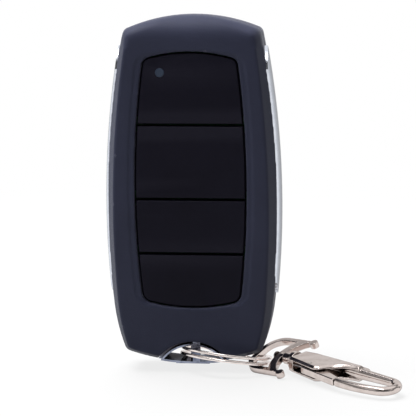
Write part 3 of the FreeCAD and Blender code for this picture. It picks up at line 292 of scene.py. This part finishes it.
# Node, body, slot, voxel in mm and rounds of smoothing
POLISHED = (("clasp_body", "clasp", "clasp", 0.09, 5),
            ("clasp_gate", "gate", "gate", 0.07, 3),
            ("swivel_eye", "eye", "eye", 0.08, 4),
            ("front_cover", "case", "cover", 0.25, 3))


def applied(piece):
    """The piece's mesh with its modifiers applied."""
    graph = bpy.context.evaluated_depsgraph_get()
    graph.update()
    mesh = bpy.data.meshes.new_from_object(piece.evaluated_get(graph))
    piece.modifiers.clear()
    return mesh


def polished(name, body, voxel_mm, rounds):
    """A copy of a node's mesh with its edges worn round; it stands for the node."""
    mesh = NODES[name].data.copy()
    # In millimetres, because the remesher takes no voxel below 0.0001 units
    mesh.transform(Matrix.Scale(1 / MM, 4))
    form = bmesh.new()
    form.from_mesh(mesh)
    bmesh.ops.remove_doubles(form, verts=form.verts, dist=MERGE_MM)
    form.to_mesh(mesh)
    form.free()
    piece = bpy.data.objects.new("polished_" + name, mesh)
    bpy.context.scene.collection.objects.link(piece)
    remesh = piece.modifiers.new("remesh", "REMESH")
    remesh.mode = "VOXEL"
    remesh.voxel_size = voxel_mm
    smooth = piece.modifiers.new("smooth", "SMOOTH")
    smooth.factor = SMOOTHING
    smooth.iterations = rounds
    piece.data = applied(piece)
    piece.data.transform(Matrix.Scale(MM, 4))
    piece.data.materials.clear()
    piece.data.materials.append(MATERIAL_OF[name])
    piece.data.polygons.foreach_set("use_smooth", [True] * len(piece.data.polygons))
    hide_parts(name)
    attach(piece, body)
    return piece


def roll_crown(piece):
    """Blends the front cover's face into its top, clear of the keypad and of the rear cover's seam."""
    low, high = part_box("front_cover")
    crown = piece.vertex_groups.new(name="crown")
    for vertex in piece.data.vertices:
        rise = (vertex.co.z - (high.z - CROWN_DEPTH_MM * MM)) / (CROWN_FADE_MM * MM)
        run = (low.y + FACE_DEPTH_MM * MM - vertex.co.y) / (CROWN_FADE_MM * MM)
        weight = max(0.0, min(1.0, rise, run))
        if weight > 0:
            crown.add([vertex.index], weight, "REPLACE")
    smooth = piece.modifiers.new("crown", "SMOOTH")
    smooth.vertex_group = "crown"
    smooth.factor = SMOOTHING
    smooth.iterations = CROWN_ROUNDS
    piece.data = applied(piece)
    piece.vertex_groups.clear()


for name, body, slot, voxel_mm, rounds in POLISHED:
    made = polished(name, body, voxel_mm, rounds)
    if name == "front_cover":
        roll_crown(made)


# Stage. Stops are pairs of a direction's part along an axis, -1 to 1, and a level of white.
HOLE_STOPS = ((-0.80, 0.10), (-0.45, 0.85), (0.0, 1.0))
SIDE_SEAM_STOPS = ((-0.94, 1.0), (-0.88, 0.25), (-0.80, 0.25), (-0.72, 1.0),
                   (0.72, 1.0), (0.80, 0.25), (0.88, 0.25), (0.94, 1.0))
TOP_SEAM_STOPS = ((0.55, 1.0), (0.63, 0.3), (0.70, 0.3), (0.80, 1.0))
TENT_FILL = 0.22
FLOOR_REACH = 6.0
FLOOR_GREY = 0.35
FLOOR_FADE = (0.06, 0.25)
FLOOR_NEAR_LEVEL = 0.80
LIGHT_TARGET = Vector((0.0, 0.0, 0.035))


def ray_mask(tree):
    """1 for rays from the camera and for mirror and glass rays, else 0."""
    path = tree.nodes.new("ShaderNodeLightPath")
    both = arithmetic(tree, "MAXIMUM", path.outputs["Is Camera Ray"], path.outputs["Is Glossy Ray"])
    return arithmetic(tree, "MAXIMUM", both, path.outputs["Is Transmission Ray"])


def make_floor():
    """A pale floor that keeps the object's shadow and fades to white away from it."""
    mesh = bpy.data.meshes.new("floor")
    corners = [(x * FLOOR_REACH, y * FLOOR_REACH, FLOOR_Z) for x, y in ((-1, -1), (1, -1), (1, 1), (-1, 1))]
    mesh.from_pydata(corners, [], [(0, 1, 2, 3)])
    floor = bpy.data.objects.new("floor", mesh)
    bpy.context.scene.collection.objects.link(floor)
    material, tree, out = empty_material("floor_pale")
    diffuse = tree.nodes.new("ShaderNodeBsdfDiffuse")
    diffuse.inputs["Color"].default_value = (FLOOR_GREY, FLOOR_GREY, FLOOR_GREY, 1.0)
    white = tree.nodes.new("ShaderNodeEmission")
    white.inputs["Color"].default_value = (1.0, 1.0, 1.0, 1.0)
    white.inputs["Strength"].default_value = 1.0
    far = tree.nodes.new("ShaderNodeVectorMath")
    far.operation = "LENGTH"
    tree.links.new(object_coordinates(tree), far.inputs[0])
    level = remap(tree, far.outputs["Value"], FLOOR_FADE, (FLOOR_NEAR_LEVEL, 1.0))
    mix_surface(tree, out, arithmetic(tree, "MULTIPLY", ray_mask(tree), level), diffuse, white)
    mesh.materials.append(material)


def ramp(tree, value, stops):
    """A smooth level along a value from -1 to 1."""
    node = tree.nodes.new("ShaderNodeValToRGB")
    node.color_ramp.interpolation = "EASE"
    elements = node.color_ramp.elements
    while len(elements) < len(stops):
        elements.new(0.5)
    for element, (place, level) in zip(elements, stops):
        element.position = (place + 1) / 2
        element.color = (level, level, level, 1.0)
    tree.links.new(remap(tree, value, (-1.0, 1.0)), node.inputs["Fac"])
    return node.outputs["Color"]


def make_world():
    """A white light tent with a dark hole behind the camera and dark seams between its panels."""
    world = bpy.data.worlds.new("studio")
    bpy.context.scene.world = world
    world.use_nodes = True
    tree = world.node_tree
    tree.nodes.clear()
    out = tree.nodes.new("ShaderNodeOutputWorld")
    coordinates = tree.nodes.new("ShaderNodeTexCoord")
    split = tree.nodes.new("ShaderNodeSeparateXYZ")
    tree.links.new(coordinates.outputs["Generated"], split.inputs[0])
    shade = ramp(tree, split.outputs["Y"], HOLE_STOPS)
    for axis, stops in (("X", SIDE_SEAM_STOPS), ("Z", TOP_SEAM_STOPS)):
        shade = arithmetic(tree, "MULTIPLY", shade, ramp(tree, split.outputs[axis], stops))
    plain = tree.nodes.new("ShaderNodeLightPath").outputs["Is Camera Ray"]
    seen = tree.nodes.new("ShaderNodeBackground")
    tree.links.new(arithmetic(tree, "MAXIMUM", shade, plain), seen.inputs["Color"])
    seen.inputs["Strength"].default_value = 1.0
    fill = tree.nodes.new("ShaderNodeBackground")
    fill.inputs["Color"].default_value = (*COOL_WHITE, 1.0)
    fill.inputs["Strength"].default_value = TENT_FILL
    mix_surface(tree, out, ray_mask(tree), fill, seen)


def soft_light(name, place, size, power, colour=(1.0, 1.0, 1.0), mirrored=False):
    """A panel of light towards the object, shown in the metal only where it is mirrored."""
    data = bpy.data.lights.new(name, "AREA")
    data.shape = "RECTANGLE"
    data.size, data.size_y = size
    data.energy = power
    data.color = colour
    light = bpy.data.objects.new(name, data)
    light.visible_glossy = mirrored
    light.location = place
    light.rotation_euler = (LIGHT_TARGET - Vector(place)).to_track_quat("-Z", "Y").to_euler()
    bpy.context.scene.collection.objects.link(light)


def make_lights():
    soft_light("top_light", (-0.16, 0.10, 0.60), size=(0.6, 0.4), power=12.0)
    soft_light("strip_light", (-0.12, -0.06, 0.55), size=(0.9, 0.10), power=1.6, mirrored=True)
    soft_light("left_light", (-0.62, -0.34, 0.22), size=(0.6, 0.8), power=3.0)
    soft_light("right_light", (0.55, -0.20, 0.25), size=(0.6, 0.8), power=0.3, colour=COOL_WHITE)
    soft_light("back_light", (0.1, 0.55, 0.35), size=(0.6, 0.6), power=1.0)


# Camera
CAMERA_AZIMUTH = 6.6
CAMERA_ELEVATION = 9.0
CAMERA_ROLL = -0.45
CAMERA_DISTANCE = 0.380
CAMERA_TARGET = Vector((0.00275, 0.0, 0.031))
CAMERA_NEAR, CAMERA_FAR = 0.01, 20.0
FOCAL_PIXELS = 1888.6
PICTURE_PIXELS = 416
SENSOR_MM = 36.0


def make_camera():
    data = bpy.data.cameras.new("camera")
    data.sensor_fit = "HORIZONTAL"
    data.sensor_width = SENSOR_MM
    data.lens = SENSOR_MM * FOCAL_PIXELS / PICTURE_PIXELS
    data.clip_start = CAMERA_NEAR
    data.clip_end = CAMERA_FAR
    azimuth, elevation = math.radians(CAMERA_AZIMUTH), math.radians(CAMERA_ELEVATION)
    away = Vector((math.sin(azimuth) * math.cos(elevation),
                   -math.cos(azimuth) * math.cos(elevation), math.sin(elevation)))
    camera = bpy.data.objects.new("camera", data)
    camera.location = CAMERA_TARGET + away * CAMERA_DISTANCE
    roll = Quaternion((0.0, 0.0, 1.0), math.radians(CAMERA_ROLL))
    camera.rotation_euler = (away.to_track_quat("Z", "Y") @ roll).to_euler()
    bpy.context.scene.collection.objects.link(camera)
    bpy.context.scene.camera = camera


make_floor()
make_world()
make_lights()
make_camera()
bpy.context.scene.view_settings.view_transform = "Standard"
